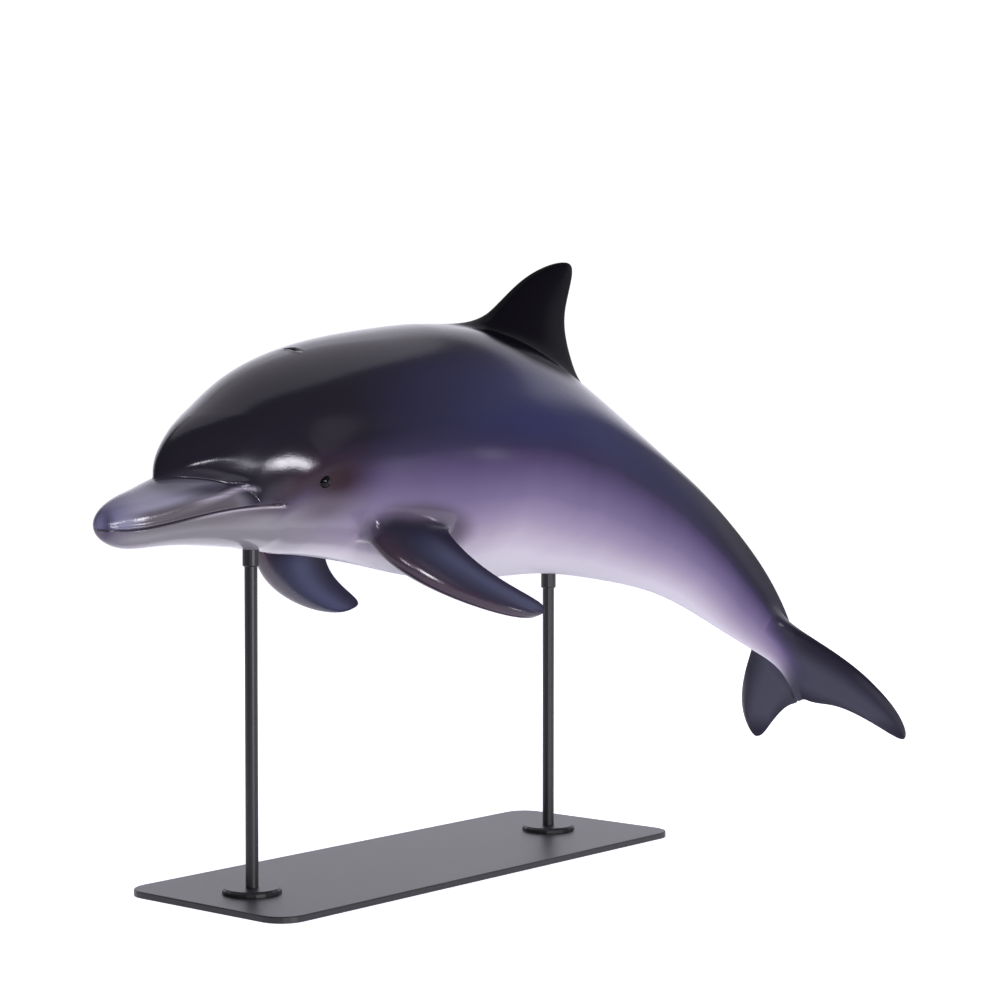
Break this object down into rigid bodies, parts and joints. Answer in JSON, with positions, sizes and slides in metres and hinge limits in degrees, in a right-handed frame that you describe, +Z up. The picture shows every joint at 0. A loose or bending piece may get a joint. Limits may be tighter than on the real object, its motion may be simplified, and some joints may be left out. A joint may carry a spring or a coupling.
{
  "type": "bottlenose dolphin display model",
  "caption": "Leaping bottlenose dolphin as a painted life-size display model, held by two rods on a flat base plate.",
  "frame": {"origin": "centre of the underside of the stand's base plate, on the floor", "axes": "+Z up, head towards -X, tail towards +X, the animal's left side towards -Y"},
  "size_m": [2.3722, 0.5389, 1.2099],
  "materials": {
    "dolphin_paint": "clear-coated air-brushed paint on glass fibre: dark back and fins, violet-blue flanks, pale belly",
    "eye_gloss": "polished black",
    "stand_black": "satin black powder coat on steel"
  },
  "bodies": {
    "root": {"beak_upper": "dolphin_paint", "beak_lower": "dolphin_paint", "head": "dolphin_paint", "chest": "dolphin_paint", "trunk": "dolphin_paint", "tail_stock": "dolphin_paint", "fluke_centre": "dolphin_paint", "fluke_left": "dolphin_paint", "fluke_right": "dolphin_paint", "dorsal_fin": "dolphin_paint", "flipper_left": "dolphin_paint", "flipper_right": "dolphin_paint", "eye_left": "eye_gloss", "eye_right": "eye_gloss", "stand_base": "stand_black", "stand_rod_front": "stand_black", "stand_rod_rear": "stand_black", "stand_flange_front": "stand_black", "stand_flange_rear": "stand_black", "stand_sleeve_front": "stand_black", "stand_sleeve_rear": "stand_black"}
  },
  "joints": []
}
